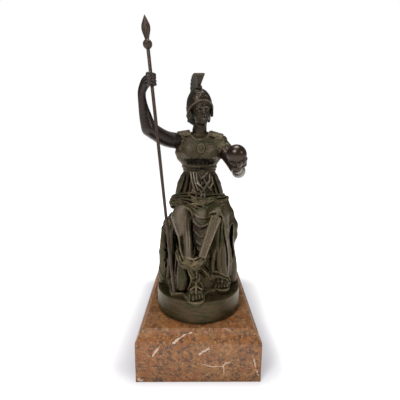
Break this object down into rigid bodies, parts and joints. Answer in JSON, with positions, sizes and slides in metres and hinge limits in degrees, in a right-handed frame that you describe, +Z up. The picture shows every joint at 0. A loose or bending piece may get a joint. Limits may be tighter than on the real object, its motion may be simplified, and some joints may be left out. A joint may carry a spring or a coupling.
{
  "type": "seated athena statue",
  "caption": "Seated helmeted goddess cast in bronze with a raised spear and a globe in her hand, on a stepped marble plinth.",
  "frame": {"origin": "middle of the plinth's underside", "axes": "+X to the viewer's right, the figure faces -Y, +Z up"},
  "size_m": [0.1426, 0.203, 0.4026],
  "materials": {
    "marble": "honed reddish brown marble with white veins and grey mottling, slightly glossy",
    "patinated_bronze": "cast bronze with a dark brown patina, green in the drapery, rubbed lighter on the ridges",
    "rubbed_bronze": "drawn bronze rod with a reddish brown patina, satin"
  },
  "bodies": {
    "root": {"marble_plinth": "marble", "athena_figure": "patinated_bronze", "spear": "rubbed_bronze"}
  },
  "joints": []
}
